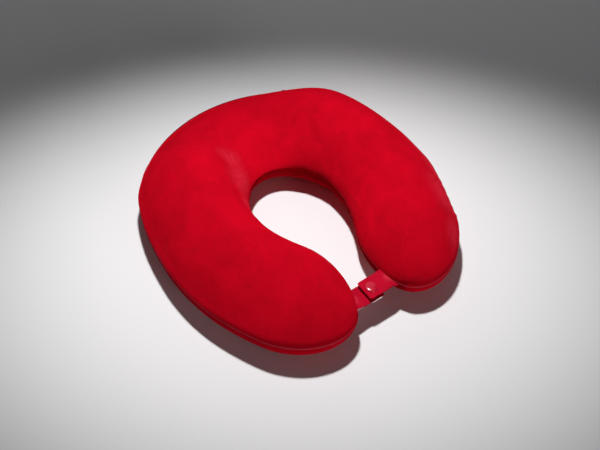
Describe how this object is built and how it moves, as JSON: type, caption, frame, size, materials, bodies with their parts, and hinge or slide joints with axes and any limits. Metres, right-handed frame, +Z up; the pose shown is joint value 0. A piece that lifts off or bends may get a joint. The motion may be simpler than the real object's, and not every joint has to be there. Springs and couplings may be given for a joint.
{
  "type": "u shaped neck pillow",
  "caption": "U-shaped travel neck pillow: foam core and liner in a zipped two-panel velour cover, with short straps and a snap across its mouth.",
  "frame": {"origin": "middle of the footprint on the surface the pillow lies on, under the neck hole", "axes": "+Z up through the pillow's thickness, the U's mouth towards -Y, +X towards the arm that carries the upper strap"},
  "size_m": [0.2804, 0.3048, 0.0907],
  "materials": {
    "cover_velour": "short nap velour, soft sheen",
    "strap_velour": "short nap velour",
    "foam": "open cell foam",
    "liner_knit": "fine white knit",
    "interlining": "woven interlining",
    "zip_tape": "woven tape",
    "zip_coil": "nylon coil",
    "zip_metal": "enamelled zinc",
    "snap_plastic": "polished moulded plastic",
    "label": "satin ribbon, blank"
  },
  "bodies": {
    "pillow": {"foam_core": "foam", "inner_liner": "liner_knit", "cover_top_panel": "cover_velour", "cover_bottom_panel": "cover_velour", "zipper_tape_upper": "zip_tape", "zipper_tape_lower": "zip_tape", "zipper_coil_upper": "zip_coil", "zipper_coil_lower": "zip_coil", "zipper_top_stops": "zip_metal", "zipper_bottom_stop": "zip_metal", "strap_right_tab": "strap_velour", "strap_left_tab": "strap_velour", "care_label": "label"},
    "strap_right": {"strap_right_sleeve": "strap_velour", "strap_right_interlining": "interlining", "snap_cap": "snap_plastic", "snap_socket": "snap_plastic"},
    "strap_left": {"strap_left_sleeve": "strap_velour", "strap_left_interlining": "interlining", "snap_stud": "snap_plastic", "snap_stud_cap": "snap_plastic"},
    "zipper_slider": {"zipper_slider": "zip_metal"},
    "zipper_pull": {"zipper_pull": "zip_metal"}
  },
  "joints": [
    {"name": "strap_right_lift", "type": "hinge", "parent": "pillow", "child": "strap_right", "pos_m": [0.016, -0.12449, 0.0327], "axis": [0, 1, 0], "range_deg": [0, 90]},
    {"name": "strap_left_drop", "type": "hinge", "parent": "pillow", "child": "strap_left", "pos_m": [-0.016, -0.12449, 0.0273], "axis": [0, 1, 0], "range_deg": [0, 75]},
    {"name": "zipper_slide", "type": "hinge", "parent": "pillow", "child": "zipper_slider", "pos_m": [0, 0.00951, 0.03], "axis": [0, 0, 1], "range_deg": [0, 85]},
    {"name": "zipper_pull_flip", "type": "hinge", "parent": "zipper_slider", "child": "zipper_pull", "pos_m": [0.09864, 0.11716, 0.03], "axis": [0, 0, -1], "range_deg": [0, 150]}
  ]
}
